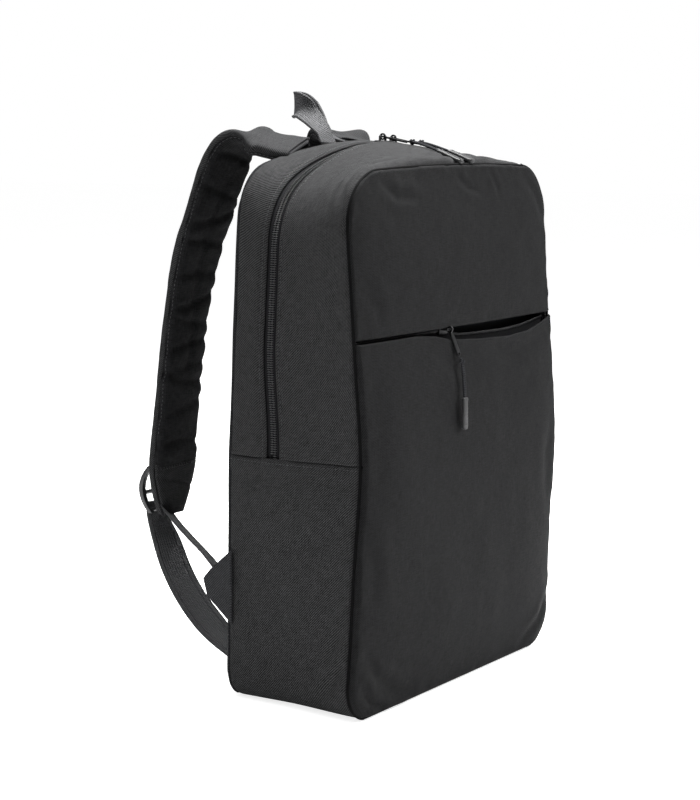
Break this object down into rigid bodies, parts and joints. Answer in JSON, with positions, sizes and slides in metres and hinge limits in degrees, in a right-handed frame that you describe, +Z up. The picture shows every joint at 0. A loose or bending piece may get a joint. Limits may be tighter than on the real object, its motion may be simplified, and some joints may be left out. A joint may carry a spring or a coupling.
{
  "type": "school backpack",
  "caption": "Rectangular school backpack with a two-way main zip, a zipped front pocket, padded laptop back, grab handle and two adjustable padded shoulder straps.",
  "frame": {"origin": "centre of the flat base, midway between the front and rear seams", "axes": "+Z up, -Y towards the front pocket, +Y towards the wearer's back, +X to the left of someone wearing it seen from the front"},
  "size_m": [0.314, 0.2705, 0.4799],
  "materials": {
    "shell_twill": "two-tone diagonal twill polyester, roughness 0.86",
    "front_weave": "finer plain weave polyester with a soft sheen, roughness 0.8",
    "lining": "thin woven lining",
    "back_mesh": "knitted spacer mesh",
    "foam": null,
    "webbing": "ribbed polypropylene webbing",
    "zip_tape": "woven zip tape",
    "zip_coil": "nylon coil",
    "slider_metal": "gunmetal paint on die-cast zinc",
    "lock_plastic": "moulded acetal, semi-gloss",
    "pull_cord": "round braided cord",
    "pull_rubber": "moulded grip, matt"
  },
  "bodies": {
    "bag": {"gusset_front_band": "shell_twill", "gusset_rear_band": "shell_twill", "lower_band": "shell_twill", "front_panel_lower": "front_weave", "front_panel_upper": "front_weave", "front_lining": "lining", "front_seam_binding": "zip_tape", "back_panel": "back_mesh", "back_foam": "foam", "back_lining": "lining", "rear_seam_binding": "zip_tape", "laptop_sleeve": "lining", "sleeve_binding": "zip_tape", "main_zip_tape_front": "zip_tape", "main_zip_coil_front": "zip_coil", "main_zip_tape_rear": "zip_tape", "main_zip_coil_rear": "zip_coil", "pocket_zip_tape_upper": "zip_tape", "pocket_zip_coil_upper": "zip_coil", "pocket_zip_tape_lower": "zip_tape", "pocket_zip_coil_lower": "zip_coil", "load_webbing_left": "webbing", "tail_webbing_left": "webbing", "strap_wing_left": "shell_twill", "load_webbing_right": "webbing", "tail_webbing_right": "webbing", "strap_wing_right": "shell_twill"},
    "left_main_slider": {"main_slider_left": "slider_metal"},
    "left_main_pull": {"main_tab_left": "slider_metal", "main_pull_cord_left": "pull_cord", "main_cord_end_left": "pull_rubber"},
    "right_main_slider": {"main_slider_right": "slider_metal"},
    "right_main_pull": {"main_tab_right": "slider_metal", "main_pull_cord_right": "pull_cord", "main_cord_end_right": "pull_rubber"},
    "pocket_zip_slider": {"pocket_slider": "slider_metal"},
    "pocket_pull": {"pocket_tab": "slider_metal", "pocket_pull_cord": "pull_cord", "pocket_cord_end": "pull_rubber"},
    "handle": {"grab_handle": "webbing"},
    "left_strap": {"strap_outer_left": "shell_twill", "strap_foam_left": "foam", "strap_lining_left": "back_mesh", "strap_binding_left": "shell_twill", "strap_end_cap_left": "shell_twill", "lock_loop_left": "webbing"},
    "left_ladder_lock": {"ladder_lock_left": "lock_plastic"},
    "right_strap": {"strap_outer_right": "shell_twill", "strap_foam_right": "foam", "strap_lining_right": "back_mesh", "strap_binding_right": "shell_twill", "strap_end_cap_right": "shell_twill", "lock_loop_right": "webbing"},
    "right_ladder_lock": {"ladder_lock_right": "lock_plastic"}
  },
  "joints": [
    {"name": "left_main_slider_travel", "type": "hinge", "parent": "bag", "child": "left_main_slider", "pos_m": [0, 0.017, 0.2335], "axis": [0, 1, 0], "range_deg": [-8, 0], "deforming": ["main_pull_cord_left", "main_cord_end_left"]},
    {"name": "right_main_slider_travel", "type": "hinge", "parent": "bag", "child": "right_main_slider", "pos_m": [0, 0.017, 0.2335], "axis": [0, 1, 0], "range_deg": [0, 6], "deforming": ["main_pull_cord_right", "main_cord_end_right"]},
    {"name": "left_main_pull_swing", "type": "hinge", "parent": "left_main_slider", "child": "left_main_pull", "pos_m": [0.00816, 0.017, 0.44254], "axis": [-0.9992, 0, 0.039], "range_deg": [0, 95]},
    {"name": "right_main_pull_swing", "type": "hinge", "parent": "right_main_slider", "child": "right_main_pull", "pos_m": [0.02449, 0.017, 0.44126], "axis": [-0.9931, 0, 0.1171], "range_deg": [0, 95]},
    {"name": "pocket_slider_travel", "type": "slide", "parent": "bag", "child": "pocket_zip_slider", "axis": [1, 0, 0], "range_m": [-0.1, 0.14]},
    {"name": "pocket_pull_swing", "type": "hinge", "parent": "pocket_zip_slider", "child": "pocket_pull", "pos_m": [-0.022, -0.0656, 0.291], "axis": [-1, 0, 0], "range_deg": [0, 100]},
    {"name": "handle_fold", "type": "hinge", "parent": "bag", "child": "handle", "pos_m": [0, 0.06, 0.4365], "axis": [1, 0, 0], "range_deg": [-35, 90]},
    {"name": "left_strap_swing", "type": "hinge", "parent": "bag", "child": "left_strap", "pos_m": [-0.051, 0.0625, 0.439], "axis": [1, 0, 0], "range_deg": [-12, 15], "deforming": ["load_webbing_left", "tail_webbing_left"]},
    {"name": "left_lock_lift", "type": "hinge", "parent": "left_strap", "child": "left_ladder_lock", "pos_m": [-0.078, 0.1846, 0.166], "axis": [1, 0, 0], "range_deg": [0, 45]},
    {"name": "right_strap_swing", "type": "hinge", "parent": "bag", "child": "right_strap", "pos_m": [0.051, 0.0625, 0.439], "axis": [1, 0, 0], "range_deg": [-12, 15], "deforming": ["load_webbing_right", "tail_webbing_right"]},
    {"name": "right_lock_lift", "type": "hinge", "parent": "right_strap", "child": "right_ladder_lock", "pos_m": [0.078, 0.1846, 0.166], "axis": [1, 0, 0], "range_deg": [0, 45]}
  ]
}
